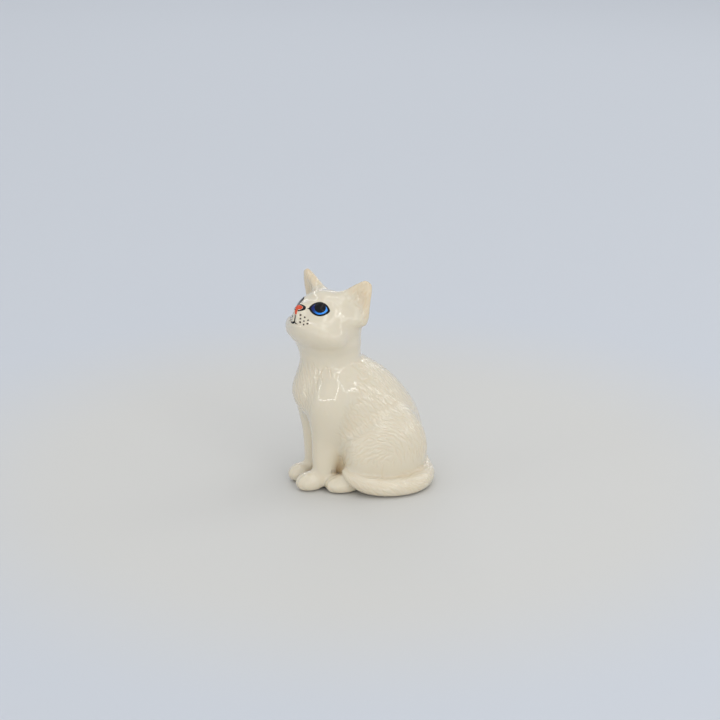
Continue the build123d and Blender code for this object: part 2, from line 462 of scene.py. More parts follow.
class HeadFrame:
    """The head's own directions, read from where the face enamel lies."""

    def __init__(self):
        left, right = middle("left_eye_outline"), middle("right_eye_outline")
        self.brow = (left + right) / 2
        self.nose = middle("nose_enamel")
        self.mouth = middle("mouth_line")
        self.side = unit(left - right)
        rise = self.brow - middle("head_shell")
        rise -= self.side * (rise @ self.side)
        forward = unit(self.nose - middle("head_shell"))
        forward -= self.side * (forward @ self.side)
        self.out = unit(forward + 0.16 * np.cross(self.side, forward))
        self.up = np.cross(self.out, self.side)
        if self.up[2] < 0:
            self.up = -self.up

    def place(self, across, up, out):
        """The point that many millimetres from the middle of the brow."""
        return self.brow + (self.side * across + self.up * up + self.out * out) * MM

    def flat(self, points, center):
        """Places across and up the face, and out of it, from a centre."""
        away = points - center
        return away @ self.side, away @ self.up, away @ self.out


class Kitten:
    """The figurine's whole skin, sculpted from the frame's castings, and the casting that owns each face."""

    def __init__(self):
        clay = settings("clay")
        self.grid = Grid(clay.cell)
        self.head = HeadFrame()
        self.fields = {node: self.grid.of(node) for node in MEMBERS}
        values = self.luted(clay)
        self.mass = self.grid.sponged(values, 2.6 * MM)
        points, quads = self.grid.skin(values)
        self.points, self.quads, self.normals = subdivided(points, quads)
        self.owner = self.owners()
        self.pooled = self.pooling(self.points)
        self.cut = self.fur()
        raised = self.points + self.normals * self.relief()[:, None]
        margin = np.array((0.03, 0.03, 0)) * MM
        self.points = np.clip(raised, CAD_LOW + margin, CAD_HIGH - margin)
        mesh = mesh_of("whole_skin", self.points, self.quads)
        self.normals = normals_of(mesh)
        self.surface = BVHTree.FromPolygons(self.points.tolist(), self.quads.tolist())
        bpy.data.meshes.remove(mesh)

    def luted(self, clay):
        """The castings joined with slip, sponged, and rubbed flat underneath."""
        grid, part = self.grid, self.fields
        for node in CASTINGS:
            part[node] = grid.filled(part[node])
        for node in MEMBERS:
            coarse = 0.5 if node in EARS else 1.5 if node in CASTINGS else 1.0
            part[node] = grid.sponged(part[node], coarse * clay.sponge)
        values = grid.filled(blend(part["torso_shell"], part["head_shell"], clay.neck))
        for node in FORELEGS:
            _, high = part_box(node)
            shoulder = step(grid.z, 0.16 * high.z, 0.55 * high.z)
            width = clay.crease + (clay.shoulder - clay.crease) * shoulder
            values = blend(values, part[node], width)
        for node in HAUNCHES:
            low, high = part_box(node)
            back = step(grid.y, low.y + 0.22 * (high.y - low.y), low.y + 0.6 * (high.y - low.y))
            top = step(grid.z, 0.35 * high.z, 0.9 * high.z)
            width = 1.5 * clay.crease + (clay.thigh - 1.5 * clay.crease) * np.maximum(back, top)
            values = blend(values, part[node], width)
        for node in HIND_PAWS:
            values = blend(values, part[node], clay.crease)
        root = step(grid.x, middle("torso_shell")[0] + 20 * MM, middle("torso_shell")[0] + 6 * MM)
        root = root * step(grid.y, CAD_HIGH[1] - 24 * MM, CAD_HIGH[1] - 14 * MM)
        values = blend(values, part["tail"], 0.8 * clay.crease + (clay.thigh - clay.crease) * root)
        for node in EARS:
            values = blend(values, part[node], clay.ear)
        values = grid.sponged(values, 0.6 * MM)
        return carve(values, 0 * values - grid.z, 1.6 * MM)

    def owners(self):
        """The number in MEMBERS of the casting that each face belongs to."""
        centers = self.points[self.quads].mean(axis=1)
        nearest = np.stack([self.grid.at(self.fields[node], centers) for node in MEMBERS])
        owner = nearest.argmin(axis=0)
        for _ in range(6):
            votes = np.zeros((len(self.points), len(MEMBERS)), np.int32)
            for corner in range(4):
                np.add.at(votes, (self.quads[:, corner], owner), 1)
            owner = votes[self.quads].sum(axis=1).argmax(axis=1)
        return owner

    def belongs(self, *nodes):
        """Which vertices lie on those castings."""
        chosen = np.isin(self.owner, [MEMBERS.index(node) for node in nodes])
        mask = np.zeros(len(self.points), bool)
        mask[self.quads[chosen].ravel()] = True
        return mask

    def relief(self):
        """How far each vertex is raised: the hand's unevenness, the face, the toes and the fur."""
        uneven = 0.09 * MM * waves(self.points, 34 * MM, 3) + 0.012 * MM * waves(self.points, 9 * MM, 5)
        uneven *= step(self.points[:, 2], 0.5 * MM, 4 * MM)
        return uneven + self.face_modelling() + self.toes() + self.cut

    def bulge(self, center, radius, power=2):
        """1 at a centre, falling softly to nothing beyond that radius, at each vertex."""
        return np.exp(-((np.linalg.norm(self.points - center, axis=1) / radius) ** power))

    def face_modelling(self):
        """Eyeballs in shallow sockets, brows and crown, nose and muzzle, and the creases of the mouth."""
        face, head = settings("face"), self.head
        raised = np.zeros(len(self.points))
        for side, sign in (("left", 1), ("right", -1)):
            outline = side + "_eye_outline"
            rim = 0.62 * extent(outline).max()
            far = np.linalg.norm(self.points - middle(outline), axis=1) / rim
            raised += face.eyeball * np.exp(-(far**2) * 2.2)
            raised -= face.socket * np.exp(-(((far - 1.05) / 0.28) ** 2))
            raised += face.brow * self.bulge(head.place(7.5 * sign, 9.5, -2), 6.5 * MM)
        raised += face.crown * self.bulge(head.place(0, 12.5, -6), 8.5 * MM)
        raised += face.nose * self.bulge(head.nose + head.up * 0.2 * MM, 4.4 * MM)
        raised += face.muzzle * self.bulge(head.mouth, 5 * MM)
        low, high = (np.array(corner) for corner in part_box("left_ear"))
        root = np.array(((low[0] + high[0]) / 2, high[1] - MM, 0.56 * low[2] + 0.44 * high[2]))
        raised -= face.ear_root * self.bulge(root, 7 * MM)
        return raised - self.bulge(head.mouth, 9 * MM, 4) * self.mouth_creases(face)

    def mouth_creases(self, face):
        """The groove from the nose to the mouth, and the curved crease between the lips."""
        across, up, _ = self.head.flat(self.points, self.head.mouth)
        groove = np.exp(-((across / (0.8 * MM)) ** 2))
        groove *= step(up, -2.4 * MM, -1 * MM) * step(up, 4.2 * MM, 3 * MM)
        lips = np.exp(-(((up + 2.1 * MM - 0.055 / MM * across**2) / (0.75 * MM)) ** 2))
        lips *= step(np.abs(across), 5.4 * MM, 3.6 * MM)
        return face.groove * groove + face.lips * lips

    def toes(self):
        """Three shallow valleys on each paw."""
        p = self.points
        raised = np.zeros(len(p))
        for node in FORELEGS + HIND_PAWS:
            low, high = (np.array(corner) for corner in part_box(node))
            inward = 1 if node.startswith("left") else -1
            width = min(high[0] - low[0], 15.5 * MM)
            center = low[0] + width / 2 if inward == 1 else high[0] - width / 2
            tip = step(p[:, 1], low[1] + 8.5 * MM, low[1] + 5 * MM) * self.belongs(node)
            tip *= step(p[:, 2], 13 * MM, 9.5 * MM) * step(p[:, 2], 0.3 * MM, 2 * MM)
            for offset in (-0.21, 0.03, 0.26):
                line = p[:, 0] - center - offset * width * inward
                raised -= 0.34 * MM * tip * np.exp(-((line / (0.85 * MM)) ** 2))
        return raised

    def flow(self, points, nodes):
        """The way the fur lies at each point."""
        grain = np.zeros((len(points), 3))
        torso = np.array(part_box("torso_shell"))
        back = step(points[:, 1], torso[0][1] + 12 * MM, torso[0][1] + 45 * MM)
        grain[:, 1] = 0.15 + 0.75 * back
        grain[:, 2] = -1
        grain[:, 0] = 0.25 * np.sign(points[:, 0] - middle("torso_shell")[0]) * (1 - back)
        for node in HAUNCHES:
            mine = nodes == MEMBERS.index(node)
            away = points[mine] - middle(node)
            around = np.stack([np.zeros(len(away)), away[:, 2], -away[:, 1]], axis=1)
            grain[mine] = 0.75 * unit(around) + (0, 0.35, -0.55)
        tail = nodes == MEMBERS.index("tail")
        away = points[tail] - middle("torso_shell")
        grain[tail] = np.stack([away[:, 1], -away[:, 0], 0.03 + 0 * away[:, 0]], axis=1)
        ears = np.isin(nodes, [MEMBERS.index(node) for node in EARS])
        grain[ears] = self.head.up - 0.3 * self.head.out
        return unit(grain)

    def furred(self):
        """How likely each vertex is to start a stroke, from 0 to 1."""
        p = self.points
        low, high = (np.array(corner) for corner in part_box("torso_shell"))
        coat = self.belongs("torso_shell", "tail", *HAUNCHES).astype(float)
        coat *= step(p[:, 2], 3 * MM, 6 * MM) * step(p[:, 2], 0.90 * high[2], 0.80 * high[2])
        belly = step(p[:, 1], low[1] + 34 * MM, low[1] + 26 * MM)
        coat *= 1 - belly * step(p[:, 2], 0.42 * high[2], 0.34 * high[2])
        coat *= 1 - 0.6 * self.belongs("tail")
        for node in FORELEGS:
            shoulder = middle(node) + (0, 12 * MM, 0.27 * extent(node)[2] + 9 * MM)
            coat *= step(np.linalg.norm(p - shoulder, axis=1), 14 * MM, 22 * MM)
        for node in HAUNCHES:
            foot = step(p[:, 2], 0.62 * extent(node)[2], 0.40 * extent(node)[2])
            coat *= 1 - self.belongs(node) * foot
        hidden = step(self.grid.at(self.mass, p), -0.5 * MM, 0.1 * MM)
        inside = self.belongs(*EARS) * 0.55 * (self.normals @ self.head.out > 0.15)
        return np.maximum(coat * hidden, inside)

    def fur(self):
        """Short strokes carved along the coat, each deepest at its middle."""
        fur = settings("fur")
        random = np.random.default_rng(fur.seed)
        likely = self.furred()
        order = random.permutation(np.flatnonzero(likely > random.random(len(likely))))[:MOST_SEEDS]
        chosen = order[spaced(self.points[order], fur.spacing)]
        owner_of = np.zeros(len(self.points), int)
        owner_of[self.quads.ravel()] = np.repeat(self.owner, 4)
        lookup = KDTree(len(self.points))
        for number, point in enumerate(self.points.tolist()):
            lookup.insert(point, number)
        lookup.balance()
        reach = {**dict.fromkeys(EARS, 0.5), "tail": 1.5}
        cut = np.zeros(len(self.points))
        for seed, along in zip(chosen, self.flow(self.points[chosen], owner_of[chosen])):
            along = along + 0.22 * random.normal(size=3)
            length = fur.length * random.uniform(0.65, 1.2) * reach.get(MEMBERS[owner_of[seed]], 1)
            width = fur.width * random.uniform(0.75, 1.2)
            depth = fur.depth * random.uniform(0.6, 1.15)
            bend = random.normal() * 0.16
            near = np.array([n for _, n, _ in lookup.find_range(self.points[seed], 0.5 * length + 2 * width)])
            groove = depth * self.stroke(seed, near, along, length, width, bend)
            deeper = np.abs(groove) > np.abs(cut[near])
            cut[near] = np.where(deeper, -groove, cut[near])
        return cut

    def stroke(self, seed, near, along, length, width, bend):
        """One tapering, bent stroke with soft burrs, as a share of its depth at each vertex near it."""
        normal = self.normals[seed]
        along = unit(along - normal * (along @ normal))
        away = self.points[near] - self.points[seed]
        s = away @ along / (0.5 * length)
        t = away @ np.cross(normal, along) / width - bend * (length / width) * (s * s - 0.3)
        t = t * (1 + 0.5 * np.clip(s, -1, 1))
        taper = np.clip(1 - s * s, 0, 1) ** 0.8
        same_side = self.normals[near] @ normal > 0.35
        return taper * same_side * (1.28 * np.exp(-((t / 0.55) ** 2)) - 0.28 * np.exp(-((t / 1.25) ** 2)))

    def pooling(self, points):
        """How thick the honey of the glaze lies at each point: in creases, and over thin clay."""
        bulk = self.grid.at(self.mass, points)
        ear = np.minimum(*(self.grid.at(self.fields[node], points) for node in EARS))
        creases, thin = step(bulk, 0.1 * MM, -1.5 * MM), step(bulk, 0.75 * MM, 1.6 * MM)
        return creases + 0.45 * thin + 0.35 * step(ear, MM, 0)


def waves(points, length, seed):
    """Smooth unevenness of that wavelength, between about -1 and 1."""
    random = np.random.default_rng(seed)
    total = np.zeros(len(points))
    count = 9
    for direction, phase in zip(unit(random.normal(size=(count, 3))), random.uniform(0, 2 * math.pi, count)):
        total += np.sin(points @ direction * (2 * math.pi / length) * random.uniform(0.7, 1.4) + phase)
    return total / 3.5


def spaced(points, spacing):
    """The places in points of those that keep that distance from all chosen before them."""
    cells, chosen = {}, []
    keys = np.floor(points / spacing).astype(int)
    for number, (key, point) in enumerate(zip(map(tuple, keys), points)):
        around = [
            other
            for shift in np.ndindex(3, 3, 3)
            for other in cells.get(tuple(np.add(key, shift) - 1), ())
        ]
        if around and (np.linalg.norm(points[around] - point, axis=1) < spacing).any():
            continue
        cells.setdefault(key, []).append(number)
        chosen.append(number)
    return np.array(chosen)


# ---- meshes ------------------------------------------------------------------------------


def mesh_of(name, points, faces):
    mesh = bpy.data.meshes.new(name)
    mesh.from_pydata(np.asarray(points).tolist(), [], [list(map(int, face)) for face in faces])
    mesh.update()
    return mesh


def normals_of(mesh):
    normals = np.empty(len(mesh.vertices) * 3)
    mesh.vertex_normals.foreach_get("vector", normals)
    return normals.reshape(-1, 3)


def subdivided(points, quads):
    """One smooth subdivision: its points, its quads and its normals out of the clay."""
    mesh = mesh_of("clay", points, quads)
    thing = bpy.data.objects.new("clay", mesh)
    bpy.context.scene.collection.objects.link(thing)
    smooth = thing.modifiers.new("smooth", "SUBSURF")
    smooth.levels = 1
    bpy.context.view_layer.update()
    finer = bpy.data.meshes.new_from_object(thing.evaluated_get(bpy.context.evaluated_depsgraph_get()))
    co = np.empty(len(finer.vertices) * 3)
    finer.vertices.foreach_get("co", co)
    corners = np.empty(len(finer.loops), np.int32)
    finer.loops.foreach_get("vertex_index", corners)
    normals = normals_of(finer)
    co = co.reshape(-1, 3)
    quads = corners.reshape(-1, 4).astype(int)
    if (normals * (co - co.mean(axis=0))).sum() < 0:
        quads = quads[:, ::-1].copy()
        normals = -normals
    bpy.data.objects.remove(thing)
    bpy.data.meshes.remove(mesh)
    bpy.data.meshes.remove(finer)
    return co, quads, normals


def rims(quads):
    """The open edges of a set of quads as closed walks that never touch themselves."""
    edges = np.concatenate([quads[:, [n, (n + 1) % 4]] for n in range(4)])
    known = set(map(tuple, edges.tolist()))
    following = {}
    for start, end in known:
        if (end, start) not in known:
            following.setdefault(end, []).append(start)
    walks = []
    while following:
        start = next(iter(following))
        walk, place, here = [], {}, start
        while True:
            if here in place:
                loop = walk[place[here]:]
                walks.append(loop)
                for gone in loop:
                    place.pop(gone)
                del walk[len(walk) - len(loop):]
            if here not in following:
                break
            place[here] = len(walk)
            walk.append(here)
            options = following[here]
            step_to = options.pop()
            if not options:
                del following[here]
            here = step_to
    return walks


def closed_piece(name, kitten, chosen):
    """The chosen quads of the skin as a closed solid, each open rim turned in and capped in the clay."""
    quads = kitten.quads[chosen]
    used, flat = np.unique(quads.ravel(), return_inverse=True)
    faces = [tuple(face) for face in flat.reshape(-1, 4)]
    points = kitten.points[used].tolist()
    normals = kitten.normals[used]
    skin_faces = len(faces)
    local = flat.reshape(-1, 4)
    for walk in rims(local):
        rim = np.array(walk)
        edge = np.array([points[n] for n in walk])
        inward = edge - normals[rim] * 0.9 * MM
        inward[:, 2] = np.maximum(inward[:, 2], 0.3 * MM)
        hub = inward.mean(axis=0) - unit(normals[rim].mean(axis=0)) * 1.2 * MM
        hub[2] = max(hub[2], 0.6 * MM)
        first = len(points)
        points.extend(inward.tolist())
        points.append(hub.tolist())
        for n in range(len(walk)):
            after = (n + 1) % len(walk)
            faces.append((walk[n], walk[after], first + after, first + n))
            faces.append((first + n, first + after, first + len(walk)))
    mesh = mesh_of(name, points, faces)
    piece = bpy.data.objects.new(name, mesh)
    bpy.context.scene.collection.objects.link(piece)
    mesh.polygons.foreach_set("use_smooth", np.ones(len(faces), bool))
    corner_normals = np.zeros((len(mesh.loops), 3))
    corner_normals[: skin_faces * 4] = normals[flat]
    mesh.normals_split_custom_set(corner_normals.tolist())
    carving = np.clip(-kitten.cut / settings("fur").depth, 0, 1)
    for attribute, skin_values in (("pooling", kitten.pooled), ("carved", carving)):
        values = np.zeros(len(points), np.float32)
        values[: len(used)] = skin_values[used]
        mesh.attributes.new(attribute, "FLOAT", "POINT").data.foreach_set("value", values)
    return piece


_kitten = []


def kitten():
    """The sculpted skin, made once."""
    if not _kitten:
        _kitten.append(Kitten())
    return _kitten[0]


def settle(piece, node, material):
    """Gives a finished piece its material and its body, and hides the CAD node it stands for."""
    piece.data.materials.append(material)
    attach(piece, "root")
    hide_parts(node)
    node_slot(node)


def node_slot(node):
    for row in frame["record"]["subparts"]:
        if row["node"] == node:
            return row["material_slot"]
    raise ValueError(f"{node} has no material slot")


def glazed_member(node):
    """One casting cut from the sculpted skin."""
    whole = kitten()
    chosen = whole.owner == MEMBERS.index(node)
    if not chosen.any():
        raise RuntimeError(f"no skin belongs to {node}")
    piece = closed_piece(node.replace("_shell", "") + "_glazed", whole, chosen)
    settle(piece, node, cream_glaze())
    return piece


# ---- enamel ------------------------------------------------------------------------------


class Brush:
    """A flat place to paint on, laid against the skin: across, up and out of it."""

    def __init__(self, center, up, out=None, half=9 * MM):
        skin = kitten().surface
        found, normal, _, _ = skin.find_nearest(Vector(center))
        self.center = np.array(found)
        self.out = unit(np.array(normal) if out is None else np.array(out))
        self.up = unit(up - self.out * (up @ self.out))
        self.across = np.cross(self.up, self.out)
        self.half = half
        self.spacing = 0.35 * MM
        self.count = 2 * int(math.ceil(half / self.spacing)) + 1
        self.heights = self._feel(skin)

    def _feel(self, skin):
        """How far the skin stands out of the flat place, on a grid, gently smoothed."""
        start = (self.count - 1) / 2
        heights = np.zeros((self.count, self.count))
        above = 8 * MM
        for i, j in np.ndindex(*heights.shape):
            u, v = (i - start) * self.spacing, (j - start) * self.spacing
            eye = self.center + self.across * u + self.up * v + self.out * above
            hit, _, _, distance = skin.ray_cast(Vector(eye), Vector(-self.out), 2 * above)
            heights[i, j] = above - distance if hit is not None else -above
        for _ in range(2):
            padded = np.pad(heights, 1, mode="edge")
            heights = sum(
                weight * padded[1 + a: 1 + a + self.count, 1 + b: 1 + b + self.count]
                for a, b, weight in (
                    (0, 0, 0.5), (1, 0, 0.125), (-1, 0, 0.125), (0, 1, 0.125), (0, -1, 0.125)
                )
            )
        return heights

    def height(self, u, v):
        """The skin's height at a place, from a smooth patch over the nearest nine samples."""
        start = (self.count - 1) / 2
        a, b = u / self.spacing + start, v / self.spacing + start
        i = np.clip(np.rint(a).astype(int), 1, self.count - 2)
        j = np.clip(np.rint(b).astype(int), 1, self.count - 2)
        total = 0
        for di, wi in self._weights(a - i):
            for dj, wj in self._weights(b - j):
                total = total + wi * wj * self.heights[i + di, j + dj]
        return total

    def _weights(self, t):
        t = np.clip(t, -0.5, 0.5)
        return ((-1, 0.5 * (0.5 - t) ** 2), (0, 0.75 - t * t), (1, 0.5 * (0.5 + t) ** 2))

    def flat(self, points):
        away = points - self.center
        return away @ self.across, away @ self.up

    def lay(self, shape, lift):
        """Paints a flat shape as a closed pillow of enamel on the skin: its points and its quads."""
        cell = settings("enamel").cell
        sink = 0.14 * MM
        reach = int(math.ceil(self.half / cell))
        layers = int(math.ceil((lift + sink) / cell)) + 4
        u = (np.arange(-reach, reach + 1) * cell)[:, None, None]
        v = (np.arange(-reach, reach + 1) * cell)[None, :, None]
        w = ((np.arange(layers) - 2) * cell - sink)[None, None, :]
        thick = (lift + sink) / 2
        outline = shape(u + 0 * v, v + 0 * u) + 0 * w
        pillow = carve(outline, np.abs(w - (lift - sink) / 2) - thick + 0 * outline, 0.3 * MM)
        solid = openvdb.FloatGrid(float(4 * cell))
        solid.copyFromArray(np.clip(pillow, -4 * cell, 4 * cell).astype(np.float32), ijk=(0, 0, 0))
        solid.transform = openvdb.createLinearTransform(voxelSize=cell)
        found, quads = solid.convertToQuads()
        found = np.array(found, float)
        a, b = found[:, 0] - reach * cell, found[:, 1] - reach * cell
        c = found[:, 2] - 2 * cell - sink + self.height(a, b)
        points = self.center + np.outer(a, self.across) + np.outer(b, self.up) + np.outer(c, self.out)
        return points, np.array(quads, int), a, b


def disc(x, y, radius):
    return lambda u, v: np.hypot(u - x, v - y) - radius


def oval(x, y, wide, high):
    return lambda u, v: (np.hypot((u - x) / wide, (v - y) / high) - 1) * min(wide, high)


def pull(*stops):
    """One pull of the brush: (across, up, half width) stops joined by straight tapering runs."""

    def shape(u, v):
        best = np.full(np.broadcast(u, v).shape, 1.0)
        for (x0, y0, r0), (x1, y1, r1) in zip(stops, stops[1:]):
            dx, dy = x1 - x0, y1 - y0
            t = np.clip(((u - x0) * dx + (v - y0) * dy) / (dx * dx + dy * dy), 0, 1)
            best = np.minimum(best, np.hypot(u - x0 - t * dx, v - y0 - t * dy) - r0 - t * (r1 - r0))
        return best

    return shape


def arc_pull(start, turn, end, widths, count=9):
    """A curved pull from start past turn to end, with half widths at its start, middle and end."""
    stops = []
    for n in range(count):
        t = n / (count - 1)
        x, y = (
            (1 - t) ** 2 * a + 2 * t * (1 - t) * b + t * t * c for a, b, c in zip(start, turn, end)
        )
        stops.append((x, y, np.interp(t, (0, 0.5, 1), widths)))
    return pull(*stops)


def both(*shapes):
    return lambda u, v: np.minimum.reduce([shape(u, v) for shape in shapes])


def within(*shapes):
    return lambda u, v: np.maximum.reduce([shape(u, v) for shape in shapes])


def grown(shape, margin):
    return lambda u, v: shape(u, v) - margin


def outside(shape):
    return lambda u, v: -shape(u, v)


def lens_shape(width, top, bottom):
    """An eye opening: an upper and a lower lid arc that meet in two corners."""

    def radius(rise):
        return (width * width / 4 + rise * rise) / (2 * rise)

    upper = disc(0, top - radius(top), radius(top))
    lower = disc(0, radius(bottom) - bottom, radius(bottom))
    return within(upper, lower)


def enamel_piece(name, node, layers, material):
    """A closed piece from one or more painted layers; each layer is points, quads, across and up."""
    points, faces, across, up = [], [], [], []
    for layer_points, quads, a, b in layers:
        faces.extend((quads + sum(len(p) for p in points)).tolist())
        points.append(layer_points)
        across.append(a)
        up.append(b)
    mesh = mesh_of(name, np.concatenate(points), faces)
    if normals_point_in(mesh):
        mesh.flip_normals()
    piece = bpy.data.objects.new(name, mesh)
    bpy.context.scene.collection.objects.link(piece)
    mesh.polygons.foreach_set("use_smooth", np.ones(len(faces), bool))
    for attribute, values in (("across", np.concatenate(across)), ("up", np.concatenate(up))):
        layer = mesh.attributes.new(attribute, "FLOAT", "POINT")
        layer.data.foreach_set("value", (values / MM).astype(np.float32))
    settle(piece, node, material)
    return piece


def normals_point_in(mesh):
    """True if the closed mesh is inside out, from the sign of its volume."""
    mesh.calc_loop_triangles()
    corners = np.empty(len(mesh.loop_triangles) * 3, np.int32)
    mesh.loop_triangles.foreach_get("vertices", corners)
    points = np.empty(len(mesh.vertices) * 3)
    mesh.vertices.foreach_get("co", points)
    points = points.reshape(-1, 3)
    a, b, c = (points[corners[n::3]] - points.mean(axis=0) for n in range(3))
    return (a * np.cross(b, c)).sum() < 0


# ---- finishes ----------------------------------------------------------------------------


def once(maker):
    """A finish that is mixed the first time it is asked for."""
    made = []

    def ask():
        if not made:
            made.append(maker())
        return made[0]

    return ask


@once
def cream_glaze():
    """Clear glaze over cream clay: honey where it pools, a faint cloud and a faint orange peel."""
    glaze = settings("glaze")
    recipe = Recipe("cream_glaze")
    pool = recipe.carved("pooling")
    cut = recipe.carved("carved")
    cloud = recipe.noise(26.0, 3.0)
    deep = pool + cut * 0.2 + (cloud - 0.5) * 0.2
    colour = recipe.colours(deep, tuple(glaze.cream), tuple(glaze.honey))
    height = recipe.add("ShaderNodeSeparateXYZ", None, {0: recipe.place()}, output=2)
    # the lowest millimetre turns to darker, matt brown clay: the bare wiped foot, and also painted contact
    # shadow where the figurine meets the floor
    foot = 1 - recipe.ramp(height + (cloud - 0.5) * 0.0008, 0.0002, 0.0011)
    colour = recipe.colours(foot, colour, tuple(glaze.bare_foot_and_shadow))
    peel = recipe.noise(420.0, 2.0) * 0.6 + recipe.noise(1500.0, 1.0) * 0.12
    rough = recipe.noise(90.0, 2.0) * 0.05 + foot * 0.4 + glaze.roughness
    return recipe.finish(
        Base_Color=colour,
        Roughness=rough,
        Normal=recipe.bump(peel, 0.16, 0.0005),
        IOR=1.52,
        Coat_Weight=1.0,
        Coat_IOR=1.55,
        Coat_Roughness=0.03,
        Subsurface_Weight=0.12,
        Subsurface_Radius=(0.004, 0.0026, 0.0014),
        Subsurface_Scale=1.0,
    )


def enamel(name, colour_of):
    """Glossy enamel whose colour comes from a function of its recipe."""
    recipe = Recipe(name)
    brushed = recipe.noise(700.0, 2.0)
    return recipe.finish(
        Base_Color=colour_of(recipe, brushed),
        Roughness=brushed * 0.08 + 0.05,
        Normal=recipe.bump(brushed, 0.12, 0.0003),
        IOR=1.4,
        Specular_IOR_Level=0.3,
    )


@once
def black_enamel():
    black = tuple(settings("enamel").black)
    thin = tuple(c * 2.6 + 0.003 for c in black)
    return enamel("black_enamel", lambda recipe, brushed: recipe.colours(brushed, black, thin))


@once
def whisker_enamel():
    black = tuple(settings("enamel").black)
    thin = (0.30, 0.20, 0.14)
    return enamel("whisker_enamel", lambda recipe, brushed: recipe.colours(brushed * 0.4, black, thin))


@once
def blue_enamel():
    """Bright toward the outer lower lid, navy toward the nose."""
    paint = settings("enamel")

    def colour(recipe, brushed):
        outward = recipe.carved("across") * 0.16 - recipe.carved("up") * 0.10 + brushed * 0.35
        shade = recipe.ramp(outward, -0.45, 0.55)
        blue = recipe.colours(shade, tuple(paint.navy), tuple(paint.blue))
        glow = recipe.ramp(outward, 0.45, 1.1) * 0.45
        return recipe.colours(glow, blue, (0.16, 0.50, 0.95))

    return enamel("blue_enamel", colour)


@once
def coral_enamel():
    coral = tuple(settings("enamel").coral)
    deep = tuple(c * 0.55 for c in coral)
    return enamel("coral_enamel", lambda recipe, brushed: recipe.colours(brushed * 0.7, coral, deep))


# ---- operators ---------------------------------------------------------------------------


class Members:
    """An operator that cuts some castings from the sculpted skin."""

    bl_options = {"REGISTER"}
    nodes = ()

    def execute(self, context):
        for node in self.nodes:
            glazed_member(node)
        return {"FINISHED"}


class KITTEN_OT_castings(Members, bpy.types.Operator):
    """Glazes the hollow torso and the hollow head"""

    bl_idname = "kitten.castings"
    bl_label = "Torso and head"
    nodes = CASTINGS


class KITTEN_OT_ears(Members, bpy.types.Operator):
    """Glazes the two ears"""

    bl_idname = "kitten.ears"
    bl_label = "Ears"
    nodes = EARS


class KITTEN_OT_forelegs(Members, bpy.types.Operator):
    """Glazes the two forelegs with their paws"""

    bl_idname = "kitten.forelegs"
    bl_label = "Forelegs"
    nodes = FORELEGS


class KITTEN_OT_haunches(Members, bpy.types.Operator):
    """Glazes the two haunches"""

    bl_idname = "kitten.haunches"
    bl_label = "Haunches"
    nodes = HAUNCHES


class KITTEN_OT_hind_paws(Members, bpy.types.Operator):
    """Glazes the two hind paws"""

    bl_idname = "kitten.hind_paws"
    bl_label = "Hind paws"
    nodes = HIND_PAWS


class KITTEN_OT_tail(Members, bpy.types.Operator):
    """Glazes the tail"""

    bl_idname = "kitten.tail"
    bl_label = "Tail"
    nodes = ("tail",)


class KITTEN_OT_eyes(bpy.types.Operator):
    """Paints each eye: a black outline, a blue iris and a black pupil"""

    bl_idname = "kitten.eyes"
    bl_label = "Eyes"
    bl_options = {"REGISTER"}
    gaze = {"left": 0.02, "right": 0.12}  # how far each pupil looks to the kitten's left

    def almond(self, width, tall, ends, lids):
        """An eye with pointed corners and full lids, drawn in by a margin at its ends and its lids."""
        points = lens_shape(width - 2 * ends, 0.54 * tall - lids, 0.46 * tall - lids)
        return both(points, oval(0, 0.03 * tall, 0.41 * width - ends, 0.5 * tall - lids))

    def execute(self, context):
        paint = settings("enamel")
        head = kitten().head
        for side, sign in (("left", 1), ("right", -1)):
            outline = side + "_eye_outline"
            corners = np.linalg.svd(cad_points(outline) - middle(outline), full_matrices=False)[2][0]
            brush = Brush(middle(outline), head.up - corners * (head.up @ corners), half=10 * MM)
            u, v = brush.flat(cad_points(outline))
            width, tall = u.max() - u.min(), v.max() - v.min()
            line = paint.line
            rim = self.almond(0.92 * width, 1.06 * tall, 0, 0)
            opening = self.almond(0.92 * width, 1.06 * tall, 1.6 * line, 1.1 * line)
            pupil = disc(self.gaze[side] * width, 0.14 * tall, 0.41 * tall)
            inner = -0.46 * width * sign
            corner = pull((inner * 0.85, 0.0, 0.5 * line), (inner * 1.1, -0.04 * tall, 0.2 * line))
            ring = within(both(rim, corner), outside(opening))
            black, blue = black_enamel(), blue_enamel()
            enamel_piece(outline + "_enamel", outline, [brush.lay(ring, paint.lift)], black)
            dark = within(grown(opening, 0.45 * line), pupil)
            light = within(grown(opening, 0.4 * line), outside(grown(pupil, -0.4 * line)))
            painted = brush.lay(light, 0.6 * paint.lift)
            across = painted[2] * sign
            enamel_piece(
                side + "_eye_iris_enamel", side + "_eye_iris", [(*painted[:2], across, painted[3])], blue
            )
            layers = [brush.lay(dark, paint.lift)]
            enamel_piece(side + "_eye_pupil_enamel", side + "_eye_pupil", layers, black)
        return {"FINISHED"}


